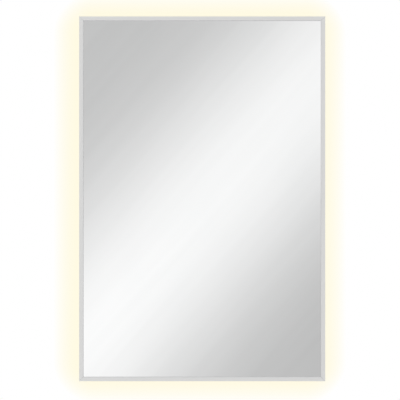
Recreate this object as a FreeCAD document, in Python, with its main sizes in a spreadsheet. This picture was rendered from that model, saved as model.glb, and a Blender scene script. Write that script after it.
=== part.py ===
import FreeCAD, Part
import math
import os
import re

import Sketcher

# Lighted bathroom mirror: a mitred aluminium frame round a glued-up mirror panel, and behind it a light
# box whose strips shine outwards, so that a halo falls on the wall.
# Axes: X to the right, Z up, the wall is the plane Y = 0 and the mirror looks towards -Y.
# "Depth" is the distance from the wall towards the room, so a point at depth d has y = -d.
# "Inward" is the distance from the outer edge of a side towards the middle of the mirror.

SIZES = {
    # frame and mirror
    "mirror_width": 600,  # clear mirror between the gaskets
    "mirror_height": 900,
    "face_width": 10.2,  # metal lip seen from the front
    "gasket_show": 0.8,  # gasket seen inside the lip
    "gasket_grip": 4,  # gasket hidden behind the lip
    "gasket_thickness": 0.8,
    "wall_gap": 13.5,  # from the wall to the back of the frame, where the light leaves
    "frame_wall": 1.5,
    "lip_thickness": 1.5,
    "frame_box": 12,  # how far the frame's rear chamber reaches inward
    "key_space": 9,  # depth of that chamber
    "edge_round": 0.4,
    "glass_inset": 5,  # glass edge from the frame's outer edge
    "glass_thickness": 4,
    "film_thickness": 0.2,
    "board_thickness": 3,
    "board_gap": 0.5,  # board edge to the frame's wall
    # corner keys and their grub screws
    "key_arm": 42,
    "key_clearance": 0.1,
    "key_screw_reach": 29,
    "grub_radius": 2,
    "grub_length": 7,
    "grub_socket": 2,
    "grub_hex": 1.2,
    "screw_fit": 0.05,  # radial play of a screw in its hole
    "overshoot": 1,  # how far a hole's tool reaches past the metal on either side
    # light rails
    "light_inset": 36,  # from the frame's outer edge to the rail's groove mouth
    "rail_wall": 1.5,
    "groove_depth": 10,
    "groove_width": 8.6,
    "rail_flange": 16,
    "strip_width": 8,
    "strip_thickness": 0.3,
    "strip_end_gap": 20,
    "chip_length": 3.5,
    "chip_width": 2.8,
    "chip_height": 0.8,
    "chip_pitch": 16.5,
    "diffuser_thickness": 1.5,
    "diffuser_recess": 0.4,
    "diffuser_leg": 5,
    "leg_thickness": 1,
    "diffuser_fit": 0.1,
    # rail brackets, pan-head screws
    "bracket_arm": 30,
    "bracket_thickness": 2,
    "bracket_height": 9,
    "bracket_screw_reach": 20,
    "pan_radius": 2.8,
    "pan_height": 1.8,
    "screw_radius": 1.5,
    "pan_length": 4.2,
    "recess_half": 0.35,  # half the width of an arm of the cross recess
    "recess_depth": 1,
    "board_screw_side": 180,  # from a horizontal rail's end to its screw
    "board_screw_rise": 95,  # the same along an upright rail
    # back cover
    "cover_thickness": 1.5,
    "cover_setback": 1,  # cover edge inside the rail's edge
    "sunk_radius": 2.9,
    "sunk_height": 1.3,
    "sunk_length": 6,
    "cover_screw_inward": 19,  # from the rail's groove mouth
    "cover_screw_side": 165,  # from a horizontal rail's end to its screw
    "cover_screw_rise": 65,  # the same along an upright rail
    "vent_rise": 14,  # lowest point of the vents above the driver
    "vent_length": 26,
    "vent_radius": 1.5,
    "vent_pitch": 10,
    "vent_count": 11,
    # adjustable hangers
    "hang_inset": 63.5,  # from the light box's inner side to the hanger's middle
    "hang_travel": 3.6,  # up and down from the middle
    "stop_gap": 0.6,
    "slide_gap": 0.5,
    "hanger_width": 35,
    "hanger_wall": 1.5,
    "hanger_setback": 2.5,  # housing's rear edge in front of the cover
    "hook_setback": 2,  # hook plate in front of the housing's rear edge
    "hook_thickness": 2,
    "nut_width": 14,
    "nut_height": 14,
    "head_room": 12.5,  # from the nut down to the top of the keyhole slot
    "keyhole_radius": 5.25,
    "keyhole_slot": 2.75,
    "keyhole_drop": 14,
    "hook_edge": 8,
    "window_width": 26,
    "window_margin": 1,
    "level_offset": 4.4,  # levelling screw's axis in front of the groove
    "level_radius": 2.5,
    "level_head_radius": 4,
    "level_head_height": 5,
    "level_end": 2,
    "level_gap": 0.3,
    "running_fit": 0.05,
    "hex_radius": 2.3,
    "hex_depth": 3,
    "key_hole_radius": 3,
    "hanger_screw_side": 11.5,
    # rocker switch in the bottom of the frame
    "switch_inset": 111,
    "rocker_length": 12.4,
    "rocker_width": 6.2,
    "rocker_angle": 10,  # each way from level
    "rocker_skin": 2,
    "rocker_sunk": 0.3,  # flush face inside the frame's face
    "rocker_side_gap": 0.3,
    "rocker_end_gap": 0.7,
    "pivot_inward": 3.2,
    "pin_radius": 0.8,
    "switch_wall": 3.6,
    "switch_floor": 1.8,
    "shoulder_half": 2.6,
    "shoulder_rise": 2.2,
    "terminal_width": 1.4,
    "terminal_thickness": 0.8,
    "terminal_length": 4,
    "terminal_spread": 3.2,
    # electrics
    "electrics_rise": 68,  # boxes' centre line above the bottom rail
    "case_wall": 1.5,
    "case_depth": 20,
    "lid_thickness": 1.5,
    "driver_left": 130,  # driver's left end, to the left of the middle
    "driver_length": 150,
    "driver_height": 44,
    "ear_length": 11,
    "ear_height": 16,
    "ear_thickness": 4.5,
    "post_radius": 2.6,
    "post_height": 3,
    "post_inset": 8,
    "circuit_thickness": 1.6,
    "circuit_gap": 0.6,
    "core_length": 24,
    "core_height": 22,
    "core_depth": 11,
    "coil_length": 15,
    "coil_swell": 2.5,
    "capacitor_radius": 5,
    "capacitor_height": 9,
    "box_gap": 35,  # between driver and terminal box
    "box_length": 90,
    "box_height": 50,
    "block_length": 27,
    "block_height": 18,
    "block_depth": 13,
    "block_inset": 18,
    "block_pitch": 9,
    "clamp_radius": 2.4,
    "clamp_height": 1.2,
    "block_bore": 1.6,
    "cable_inset": 22,
    "cable_radius": 4.5,
    "grommet_radius": 7.5,
    "grommet_flange": 10,
    "grommet_lip": 2,
    "grommet_fit": 0.1,
    # leads
    "mains_radius": 2.8,
    "switch_lead_radius": 2.4,
    "led_lead_radius": 1.6,
    "jumper_radius": 0.8,
    "lead_play": 0.5,
    "lead_level": 12,  # leads in front of the cover
    "jumper_gap": 0.1,
    "lead_end": 5,  # lead inside a box's wall
    "led_lead_inset": 26,  # from the driver's left end
    "led_lead_run": 11,  # straight out of the driver
    "led_lead_dive": 14,  # above the light box's inner edge, where it turns to the groove
    "switch_lead_run": 20,  # straight out of the terminal box
    "switch_lead_short": 8,  # from the switch's middle to its first bend
    "switch_lead_drop": 19,  # that bend, below the boxes' middle
    "switch_lead_low": 46,  # its second bend, below the boxes' middle
    "switch_lead_in": 6,  # its third bend, below the light box's inner edge
    "switch_lead_out": 22,  # its fourth bend, in the light gap
    "lead_sag": 1,  # how far a lead strays from its straight way
    "jumper_past": 3,  # outward of the groove, where a jumper starts to turn
    "jumper_short": 4.8,  # and inward of it
}

PLACES = {
    "outer_width": "mirror_width + 2 * (face_width + gasket_show)",
    "outer_height": "mirror_height + 2 * (face_width + gasket_show)",
    "half_width": "outer_width / 2",
    "half_height": "outer_height / 2",
    # depths from the wall through frame and panel
    "key_floor": "wall_gap + frame_wall",
    "key_roof": "key_floor + key_space",
    "board_back": "key_roof + frame_wall",
    "film_back": "board_back + board_thickness",
    "glass_back": "film_back + film_thickness",
    "glass_front": "glass_back + glass_thickness",
    "lip_back": "glass_front + gasket_thickness",
    "front": "lip_back + lip_thickness",
    # light rails, depths
    "groove_low": "cover_thickness + rail_wall",
    "groove_high": "groove_low + groove_width",
    "groove_middle": "groove_low + groove_width / 2",
    "flange_back": "board_back - rail_wall",
    # light rails, inward from the groove mouth and out from the middle
    "web_inner": "groove_depth + rail_wall",
    "flange_end": "web_inner + rail_flange",
    "rail_width": "outer_width - 2 * light_inset",
    "rail_height": "outer_height - 2 * light_inset",
    "inside_x": "rail_width / 2 - web_inner",
    "inside_z": "rail_height / 2 - web_inner",
    "board_side": "rail_width / 2 - board_screw_side",
    "board_rise": "rail_height / 2 - board_screw_rise",
    "cover_side": "rail_width / 2 - cover_screw_side",
    "cover_rise": "rail_height / 2 - cover_screw_rise",
    "hang_spacing": "2 * (inside_x - hang_inset)",
    "board_screw_inward": "groove_depth + rail_wall + rail_flange / 2",
    "bracket_middle": "(groove_high + rail_wall + flange_back) / 2",
    # hangers
    "housing_back": "cover_thickness + hanger_setback",
    "hook_back": "housing_back + hook_setback",
    "hook_front": "hook_back + hook_thickness",
    "housing_floor": "flange_back - hanger_wall",
    "nut_front": "housing_floor - slide_gap",
    "level_depth": "groove_high + rail_wall + level_offset",
    "housing_top": "inside_z - hanger_wall",
    "level_top": "housing_top - level_gap",
    "level_neck": "level_top - level_head_height",
    "hook_top": "level_neck - stop_gap - hang_travel",
    "nut_bottom": "hook_top - nut_height",
    "slot_top": "nut_bottom - head_room",
    "keyhole_z": "slot_top - keyhole_drop",
    "hook_bottom": "keyhole_z - hook_edge",
    "housing_bottom": "hook_bottom - stop_gap - hang_travel",
    "window_top": "slot_top + keyhole_slot + hang_travel + window_margin",
    "window_bottom": "keyhole_z - keyhole_radius - hang_travel - window_margin",
    "hook_half": "hanger_width / 2 - hanger_wall - slide_gap",
    # switch
    "switch_x": "half_width - switch_inset",
    "switch_depth": "(key_floor + key_roof) / 2",
    "opening_x": "rocker_length / 2 + rocker_end_gap",
    "opening_half": "rocker_width / 2 + rocker_side_gap",
    "switch_inner": "frame_box - frame_wall - key_clearance",
    "switch_end": "rocker_length / 2 + rocker_end_gap + switch_wall",
    # electrics
    "boxes_z": "electrics_rise - inside_z",
    "lid_back": "cover_thickness + case_depth",
    "driver_right": "driver_length - driver_left",
    "driver_x": "driver_length / 2 - driver_left",
    "box_left": "driver_right + box_gap",
    "box_right": "box_left + box_length",
    "cable_x": "box_left + cable_inset",
    "block_x": "box_right - block_inset - block_length / 2",
    "post_front": "cover_thickness + case_wall + post_height",
    "circuit_front": "post_front + circuit_thickness",
    "lead_depth": "cover_thickness + lead_level",
    "led_lead_x": "led_lead_inset - driver_left",
    "vent_low": "boxes_z + driver_height / 2 + vent_rise",
    "hanger_screw_z": "rail_height / 2 - board_screw_inward",
    "block_back": "cover_thickness + case_wall",
    "block_front": "block_back + block_depth",
    "pivot_z": "pivot_inward - half_height",
    "ridge_drop": "(pivot_inward - rocker_sunk) / cos(rocker_angle)",
}

SIDES = {"bottom": 0, "left": 90, "top": 180, "right": 270}  # turn about Y that brings a bottom piece there
CORNERS = {"bottom_left": 0, "top_left": 90, "top_right": 180, "bottom_right": 270}
BOTH = ("", "-")  # the sign of a formula on either side of the middle
COVER_SCREWS = {"across": ("-cover_side", "cover_side"),
                "upright": ("-cover_rise", "-cover_rise / 3", "cover_rise / 3", "cover_rise")}
BOARD_SCREWS = {"across": ("-board_side", "board_side"),
                "upright": ("-board_rise", "0", "board_rise")}
ARC_SHARE = 0.45  # of the shorter run beside it that a lead's arc takes up
TO_FRONT = FreeCAD.Rotation(FreeCAD.Vector(1, 0, 0), 90)
UPWARDS = FreeCAD.Rotation()
TO_RIGHT = FreeCAD.Rotation(FreeCAD.Vector(0, 1, 0), 90)
TO_LEFT = FreeCAD.Rotation(FreeCAD.Vector(0, 1, 0), -90)
DOWNWARDS = FreeCAD.Rotation(FreeCAD.Vector(1, 0, 0), 180)

doc = FreeCAD.newDocument("LightedMirror")
sheet = doc.addObject("Spreadsheet::Sheet", "Sizes")
for row, (alias, number) in enumerate(SIZES.items(), start=1):
    sheet.set(f"A{row}", alias)
    sheet.set(f"B{row}", str(number))
    sheet.setAlias(f"B{row}", alias)
doc.recompute()

layout = doc.addObject("App::VarSet", "Layout")
OWNERS = {**dict.fromkeys(SIZES, "Sizes"), **dict.fromkeys(PLACES, "Layout")}


def formula(text):
    """Writes the owner in front of every size and place named in a formula."""

    def owned(word):
        return f"{OWNERS[word[0]]}.{word[0]}" if word[0] in OWNERS else word[0]

    return re.sub(r"[a-z]\w*", owned, str(text))


for place, text in PLACES.items():
    layout.addProperty("App::PropertyFloat", place)
    layout.setExpression(place, formula(text))
doc.recompute()

pieces = []


def value(text):
    return float(layout.evalExpression(formula(text)))


def bind(thing, **formulas):
    for name, text in formulas.items():
        thing.setExpression(name.replace("_", "."), formula(text))
    return thing


def piece(name, thing):
    """Names a finished piece of the mirror and keeps it for the export."""
    thing.Label = name
    pieces.append(thing)
    return thing


# Plain solids and what is done with them


def place(thing, x, depth, z, turn=None):
    if turn is not None:
        thing.Placement = FreeCAD.Placement(FreeCAD.Vector(), turn)
    for axis, text in (("x", x), ("y", f"-({depth})"), ("z", z)):
        thing.setExpression(f"Placement.Base.{axis}", formula(text))
    return thing


def block(x, depth, z):
    """A box between two places on each axis."""
    solid = bind(doc.addObject("Part::Box", "block"), Length=f"{x[1]} - ({x[0]})",
                 Width=f"{depth[1]} - ({depth[0]})", Height=f"{z[1]} - ({z[0]})")
    return place(solid, x[0], depth[1], z[0])


def rod(radius, length, x=0, depth=0, z=0, turn=UPWARDS):
    solid = bind(doc.addObject("Part::Cylinder", "rod"), Radius=radius, Height=length)
    return place(solid, x, depth, z, turn)


def taper(first, second, length, x=0, depth=0, z=0, turn=UPWARDS):
    solid = bind(doc.addObject("Part::Cone", "taper"), Radius1=first, Radius2=second, Height=length)
    return place(solid, x, depth, z, turn)


def hexagon(radius, length, x=0, depth=0, z=0):
    solid = bind(doc.addObject("Part::Prism", "hexagon"), Circumradius=radius, Height=length)
    return place(solid, x, depth, z)


def fuse(*solids):
    joined = doc.addObject("Part::MultiFuse", "joined")
    joined.Shapes = list(solids)
    return joined


def cut(solid, *tools):
    result = doc.addObject("Part::Cut", "shaped")
    result.Base = solid
    result.Tool = fuse(*tools) if len(tools) > 1 else tools[0]
    return result


def group(solids):
    """Identical pieces that share one node."""
    together = doc.addObject("Part::Compound", "group")
    together.Links = solids
    return together


def copies(master, spots):
    """The master repeated at each spot: x, depth, z and the turn that points it the right way."""
    links = []
    for x, depth, z, turn in spots:
        link = doc.addObject("App::Link", "copy")
        link.LinkedObject = master
        links.append(place(link, x, depth, z, turn))
    return group(links)


# Sketched bodies


def circle(x, z, radius):
    return ("circle", x, z, radius)


def slot(x, low, high, radius):
    return ("slot", x, low, high, radius)


def rectangle(x0, x1, z0, z1):
    return [(x0, z0), (x1, z0), (x1, z1), (x0, z1)]


def fix(sketch, kind, shape, point, text):
    number = sketch.addConstraint(Sketcher.Constraint(kind, shape, *point, value(text)))
    sketch.setExpression(f"Constraints[{number}]", formula(text))


def draw_circle(sketch, x, z, radius):
    centre = FreeCAD.Vector(value(x), value(z), 0)
    ring = sketch.addGeometry(Part.Circle(centre, FreeCAD.Vector(0, 0, 1), value(radius)))
    fix(sketch, "DistanceX", ring, (3,), x)
    fix(sketch, "DistanceY", ring, (3,), z)
    fix(sketch, "Radius", ring, (), radius)


def draw_slot(sketch, x, low, high, radius):
    """An upright slot with round ends, from the centre of one end to that of the other."""
    across, bottom, top, reach = value(x), value(low), value(high), value(radius)

    def end_circle(height):
        return Part.Circle(FreeCAD.Vector(across, height, 0), FreeCAD.Vector(0, 0, 1), reach)

    def straight(along, start, end):
        return Part.LineSegment(FreeCAD.Vector(along, start, 0), FreeCAD.Vector(along, end, 0))

    upper = Part.ArcOfCircle(end_circle(top), 0, math.pi)
    left = straight(across - reach, top, bottom)
    lower = Part.ArcOfCircle(end_circle(bottom), math.pi, 2 * math.pi)
    right = straight(across + reach, bottom, top)
    ring = [sketch.addGeometry(edge) for edge in (upper, left, lower, right)]
    for number, edge in enumerate(ring):
        sketch.addConstraint(Sketcher.Constraint("Tangent", edge, 2, ring[(number + 1) % 4], 1))
    sketch.addConstraint(Sketcher.Constraint("Equal", ring[0], ring[2]))
    for end, height in ((ring[0], high), (ring[2], low)):
        fix(sketch, "DistanceX", end, (3,), x)
        fix(sketch, "DistanceY", end, (3,), height)
    fix(sketch, "Radius", ring[0], (), radius)


def draw_outline(sketch, points):
    corners = [FreeCAD.Vector(value(x), value(z), 0) for x, z in points]
    edges = []
    for number, corner in enumerate(corners):
        edges.append(sketch.addGeometry(Part.LineSegment(corner, corners[(number + 1) % len(corners)])))
    for number, edge in enumerate(edges):
        sketch.addConstraint(Sketcher.Constraint("Coincident", edge, 2, edges[(number + 1) % len(edges)], 1))
    for edge, (x, z) in zip(edges, points):
        fix(sketch, "DistanceX", edge, (1,), x)
        fix(sketch, "DistanceY", edge, (1,), z)


def draw(body, shapes, plane="XZ_Plane", depth="0"):
    """A sketch on the wall plane, brought forward to a depth, or on the upright plane across a bar."""
    sketch = body.newObject("Sketcher::SketchObject", "sketch")
    base = [feature for feature in body.Origin.OriginFeatures if feature.Role == plane][0]
    sketch.AttachmentSupport = (base, [""])
    sketch.MapMode = "FlatFace"
    sketch.setExpression("AttachmentOffset.Base.z", formula(depth))
    for shape in shapes:
        if shape[0] == "circle":
            draw_circle(sketch, *shape[1:])
        elif shape[0] == "slot":
            draw_slot(sketch, *shape[1:])
        else:
            draw_outline(sketch, shape)
    return sketch


def pad(body, shapes, low, high):
    """Material from one depth to another."""
    feature = body.newObject("PartDesign::Pad", "Pad")
    feature.Profile = draw(body, shapes, depth=low)
    feature.setExpression("Length", formula(f"{high} - ({low})"))
    doc.recompute()
    return feature


def pocket(body, shapes, low, high):
    """A hole from one depth to another, which has to take something away."""
    before = body.Shape.Volume
    feature = body.newObject("PartDesign::Pocket", "Pocket")
    feature.Profile = draw(body, shapes, depth=low)
    feature.Reversed = True
    feature.setExpression("Length", formula(f"{high} - ({low})"))
    doc.recompute()
    if body.Shape.Volume >= before:
        raise RuntimeError(f"a pocket of {body.Label} cuts nothing")
    return feature


def new_body(*first):
    body = doc.addObject("PartDesign::Body", "body")
    body.AllowCompound = True
    if first:
        pad(body, *first)
    return body


def put_on_side(thing, side, inset="0"):
    """Turns a piece that was built for the bottom to its side, inset from the outer edge."""
    turn = FreeCAD.Rotation(FreeCAD.Vector(0, 1, 0), SIDES[side])
    x = {"left": f"{inset} - half_width", "right": f"half_width - ({inset})"}.get(side, "0")
    z = {"bottom": f"{inset} - half_height", "top": f"half_height - ({inset})"}.get(side, "0")
    return place(thing, x, 0, z, turn)


def put_in_corner(thing, corner, inset="0"):
    turn = FreeCAD.Rotation(FreeCAD.Vector(0, 1, 0), CORNERS[corner])
    x = f"{inset} - half_width" if corner.endswith("left") else f"half_width - ({inset})"
    z = f"{inset} - half_height" if corner.startswith("bottom") else f"half_height - ({inset})"
    return place(thing, x, 0, z, turn)


def in_corners(master, corners, inset="0"):
    """The master, built for the bottom left, repeated in the corners named."""
    links = []
    for corner in corners:
        link = doc.addObject("App::Link", "corner")
        link.LinkedObject = master
        links.append(put_in_corner(link, corner, inset))
    return group(links)


def length_of(side, inset="0"):
    whole = "outer_width" if side in ("bottom", "top") else "outer_height"
    return f"({whole} - 2 * ({inset}))"


def mitred_bar(loops, length, inward, rounds=()):
    """A bar along X with its section given as (depth, inward) points, both ends mitred at 45 degrees."""
    body = new_body()
    section = [[(f"-({depth})", reach) for depth, reach in loop] for loop in loops]
    bar = body.newObject("PartDesign::Pad", "Bar")
    bar.Profile = draw(body, section, plane="YZ_Plane")
    bar.SideType = "Symmetric"
    bar.setExpression("Length", formula(length))
    doc.recompute()
    if rounds:
        spots = [(-value(depth), value(reach)) for depth, reach in rounds]
        names = []
        for number, edge in enumerate(bar.Shape.Edges, start=1):
            ends = [(vertex.Y, vertex.Z) for vertex in edge.Vertexes]
            if any(all(math.dist(end, spot) < 0.001 for end in ends) for spot in spots):
                names.append(f"Edge{number}")
        soft = body.newObject("PartDesign::Fillet", "Softened")
        soft.Base = (bar, names)
        soft.setExpression("Radius", formula("edge_round"))
        doc.recompute()
    mitre = body.newObject("PartDesign::Pocket", "Mitre")
    ends = []
    for sign in ("", "-"):
        end = f"{sign}{length} / 2"
        back = f"{sign}({length} / 2 - ({inward}))"
        ends.append([(end, "0"), (end, inward), (back, inward)])
    mitre.Profile = draw(body, ends)
    mitre.Type = "ThroughAll"
    mitre.SideType = "Symmetric"
    doc.recompute()
    return body


# Screws, each built upwards from the outer face of its head


def cross_recess():
    long, short = ("-screw_radius", "screw_radius"), ("-recess_half", "recess_half")
    return [block(x, depth, ("0", "recess_depth")) for x, depth in ((long, short), (short, long))]


def build_screws():
    sunk = fuse(taper("sunk_radius", "screw_radius", "sunk_height"), rod("screw_radius", "sunk_length"))
    pan = fuse(rod("pan_radius", "pan_height"), rod("screw_radius", "pan_height + pan_length"))
    grub = cut(rod("grub_radius", "grub_length"), hexagon("grub_hex", "grub_socket"))
    return cut(sunk, *cross_recess()), cut(pan, *cross_recess()), grub


# Frame


def build_frame():
    section = [("wall_gap", "0"), ("front", "0"), ("front", "face_width"), ("lip_back", "face_width"),
               ("lip_back", "frame_wall"), ("board_back", "frame_wall"), ("board_back", "frame_box"),
               ("wall_gap", "frame_box")]
    chamber = [("key_floor", "frame_wall"), ("key_roof", "frame_wall"),
               ("key_roof", "frame_box - frame_wall"), ("key_floor", "frame_box - frame_wall")]
    rounds = [("wall_gap", "0"), ("front", "0"), ("front", "face_width")]
    for side in SIDES:
        length = length_of(side)
        bar = mitred_bar([section, chamber], length, "frame_box", rounds)
        reach = f"({length} / 2 - key_screw_reach)"
        holes = [circle(f"{sign}{reach}", "frame_box / 2", "grub_radius + screw_fit") for sign in ("", "-")]
        pocket(bar, holes, "wall_gap", "key_floor")
        put_on_side(bar, side)
        if side == "bottom":
            opening = block(("switch_x - opening_x", "switch_x + opening_x"),
                            ("switch_depth - opening_half", "switch_depth + opening_half"),
                            ("-half_height - overshoot", "frame_wall - half_height"))
            way = rod("switch_lead_radius + lead_play", "frame_wall + 2 * overshoot", "switch_x",
                      "switch_depth", "frame_box - frame_wall - overshoot - half_height")
            bar = cut(bar, opening, way)
        piece(f"frame_{side}", bar)


def build_corner_keys(grub):
    near = "frame_wall + key_clearance"
    far = "frame_box - frame_wall - key_clearance"
    outline = [(near, near), ("key_arm", near), ("key_arm", far), (far, far), (far, "key_arm"),
               (near, "key_arm")]
    low, high = "key_floor + key_clearance", "key_roof - key_clearance"
    key = new_body([outline], low, high)
    holes = [circle("key_screw_reach", "frame_box / 2", "grub_radius + screw_fit"),
             circle("frame_box / 2", "key_screw_reach", "grub_radius + screw_fit")]
    pocket(key, holes, low, high)
    piece("corner_keys", in_corners(key, CORNERS))
    spots = []
    for x_sign in ("", "-"):
        for z_sign in ("", "-"):
            spots.append((f"{x_sign}(half_width - key_screw_reach)", "wall_gap",
                          f"{z_sign}(half_height - frame_box / 2)", TO_FRONT))
            spots.append((f"{x_sign}(half_width - frame_box / 2)", "wall_gap",
                          f"{z_sign}(half_height - key_screw_reach)", TO_FRONT))
    piece("corner_screws", copies(grub, spots))


def plate(name, x, z, low, high, holes=()):
    """A flat piece centred on the mirror, given by its half width and half height."""
    body = new_body([rectangle(f"-({x})", x, f"-({z})", z)], low, high)
    if holes:
        pocket(body, holes, low, high)
    return piece(name, body)


def build_panel():
    """Pane, film and board, one behind the other, and the gasket strips in front."""
    glass = ("half_width - glass_inset", "half_height - glass_inset")
    plate("mirror_pane", *glass, "glass_back", "glass_front")
    plate("safety_film", *glass, "film_back", "glass_back")
    gap = "frame_wall + board_gap"
    spots = spots_round(BOARD_SCREWS, "board_screw_inward") + hanger_screw_spots()
    holes = [circle(x, z, "screw_radius + screw_fit") for x, z in spots]
    plate("backing_board", f"half_width - ({gap})", f"half_height - ({gap})", "board_back", "film_back",
          holes)
    strip = [("glass_front", "face_width - gasket_grip"), ("lip_back", "face_width - gasket_grip"),
             ("lip_back", "face_width + gasket_show"), ("glass_front", "face_width + gasket_show")]
    for side in SIDES:
        bar = mitred_bar([strip], length_of(side), "face_width + gasket_show")
        piece(f"gasket_{side}", put_on_side(bar, side))


# Light box


def run_of(side):
    return "across" if side in ("bottom", "top") else "upright"


def spots_round(screws, inward):
    """Places of the screws along the four rails, a set distance in from the groove mouths."""
    spots = []
    for sign in BOTH:
        spots += [(along, f"{sign}(rail_height / 2 - {inward})") for along in screws["across"]]
        spots += [(f"{sign}(rail_width / 2 - {inward})", along) for along in screws["upright"]]
    return spots


def hanger_screw_spots():
    sides = [f"{sign}hang_spacing / 2 {way} hanger_screw_side" for sign in BOTH for way in ("-", "+")]
    return [(x, "hanger_screw_z") for x in sides]


def web_hole(along, depth, radius):
    """A hole through the web of a rail that still lies as it was drawn, with its groove mouth down."""
    return rod(radius, "rail_wall + 2 * overshoot", along, depth, "groove_depth - overshoot")


def build_rails():
    section = [("cover_thickness", "0"), ("groove_low", "0"), ("groove_low", "groove_depth"),
               ("groove_high", "groove_depth"), ("groove_high", "0"), ("groove_high + rail_wall", "0"),
               ("groove_high + rail_wall", "groove_depth"), ("board_back", "groove_depth"),
               ("board_back", "flange_end"), ("flange_back", "flange_end"), ("flange_back", "web_inner"),
               ("groove_low", "web_inner"), ("groove_low", "flange_end"), ("cover_thickness", "flange_end")]
    hole = "screw_radius + screw_fit"
    for side in SIDES:
        length = length_of(side, "light_inset")
        rail = mitred_bar([section], length, "flange_end")
        front_screws = list(BOARD_SCREWS[run_of(side)])
        corner = f"({length} / 2 - web_inner - bracket_screw_reach)"
        web = [web_hole(f"{sign}{corner}", "bracket_middle", hole) for sign in BOTH]
        if side == "bottom":
            web.append(web_hole("switch_x", "switch_depth", "switch_lead_radius + lead_play"))
            web.append(web_hole("led_lead_x", "groove_middle", "led_lead_radius + lead_play"))
        if side == "top":
            front_screws += [x for x, z in hanger_screw_spots()]
            web += [web_hole(f"{sign}hang_spacing / 2", "level_depth", "key_hole_radius") for sign in BOTH]
        pocket(rail, [circle(along, "cover_screw_inward", hole) for along in COVER_SCREWS[run_of(side)]],
               "cover_thickness", "groove_low")
        pocket(rail, [circle(along, "board_screw_inward", hole) for along in front_screws],
               "flange_back", "board_back")
        piece(f"light_rail_{side}", put_on_side(cut(rail, *web), side, "light_inset"))


def build_lights():
    """LED strip on the groove floor, its chips, and the diffuser that closes the groove."""
    low, high = "groove_low + diffuser_fit", "groove_high - diffuser_fit"
    back = "diffuser_recess + diffuser_thickness"
    leg = "diffuser_recess + diffuser_leg"
    shell = [(low, "diffuser_recess"), (high, "diffuser_recess"), (high, leg),
             (f"{high} - leg_thickness", leg), (f"{high} - leg_thickness", back),
             (f"{low} + leg_thickness", back), (f"{low} + leg_thickness", leg), (low, leg)]
    face = "(groove_depth - strip_thickness)"
    for side in SIDES:
        length = length_of(side, "light_inset")
        half = f"({length} / 2 - groove_depth - strip_end_gap)"
        strip = new_body([rectangle(f"-{half}", half, face, "groove_depth")],
                         "groove_middle - strip_width / 2", "groove_middle + strip_width / 2")
        piece(f"led_strip_{side}", put_on_side(strip, side, "light_inset"))
        count = f"floor(2 * {half} / chip_pitch)"
        first = f"(1 - {count}) * chip_pitch / 2"
        chips = new_body()
        chip = pad(chips, [rectangle(f"{first} - chip_length / 2", f"{first} + chip_length / 2",
                                     f"{face} - chip_height", face)],
                   "groove_middle - chip_width / 2", "groove_middle + chip_width / 2")
        row = chips.newObject("PartDesign::LinearPattern", "Row")
        row.Originals = [chip]
        row.Direction = ([axis for axis in chips.Origin.OriginFeatures if axis.Role == "X_Axis"][0], [""])
        bind(row, Length=f"({count} - 1) * chip_pitch", Occurrences=count)
        chips.Tip = row
        piece(f"led_chips_{side}", put_on_side(chips, side, "light_inset"))
        diffuser = mitred_bar([shell], length, leg)
        piece(f"diffuser_{side}", put_on_side(diffuser, side, "light_inset"))


def build_rail_brackets(pan):
    """Angle plates inside the corners of the light box, screwed to the rails' webs."""
    arm = "web_inner + bracket_arm"
    skin = "web_inner + bracket_thickness"
    outline = [("web_inner", "web_inner"), (arm, "web_inner"), (arm, skin), (skin, skin), (skin, arm),
               ("web_inner", arm)]
    angle = new_body([outline], "bracket_middle - bracket_height / 2", "bracket_middle + bracket_height / 2")
    along, start = "web_inner + bracket_screw_reach", "web_inner - overshoot"
    hole, length = "screw_radius + screw_fit", "bracket_thickness + 2 * overshoot"
    bracket = cut(angle, rod(hole, length, along, "bracket_middle", start),
                  rod(hole, length, start, "bracket_middle", along, TO_RIGHT))
    piece("rail_brackets", in_corners(bracket, CORNERS, "light_inset"))
    spots = []
    across, upright = f"(rail_width / 2 - ({along}))", f"(rail_height / 2 - ({along}))"
    head_x = f"(rail_width / 2 - ({skin}) - pan_height)"
    head_z = f"(rail_height / 2 - ({skin}) - pan_height)"
    for sign in BOTH:
        spots += [(f"{sign}{across}", "bracket_middle", f"-{head_z}", DOWNWARDS),
                  (f"{sign}{across}", "bracket_middle", head_z, UPWARDS),
                  (f"-{head_x}", "bracket_middle", f"{sign}{upright}", TO_LEFT),
                  (head_x, "bracket_middle", f"{sign}{upright}", TO_RIGHT)]
    piece("bracket_screws", copies(pan, spots))
    depth = "flange_back - pan_height"
    spots = [(x, depth, z, TO_FRONT) for x, z in spots_round(BOARD_SCREWS, "board_screw_inward")]
    piece("board_screws", copies(pan, spots))


def ear_spots():
    """Screws through the back cover into the ears of the driver and the terminal box."""
    reach = "ear_length / 2"
    places = [f"-driver_left - {reach}", f"driver_right + {reach}", f"box_left - {reach}",
              f"box_right + {reach}"]
    return [(x, "boxes_z") for x in places]


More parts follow.
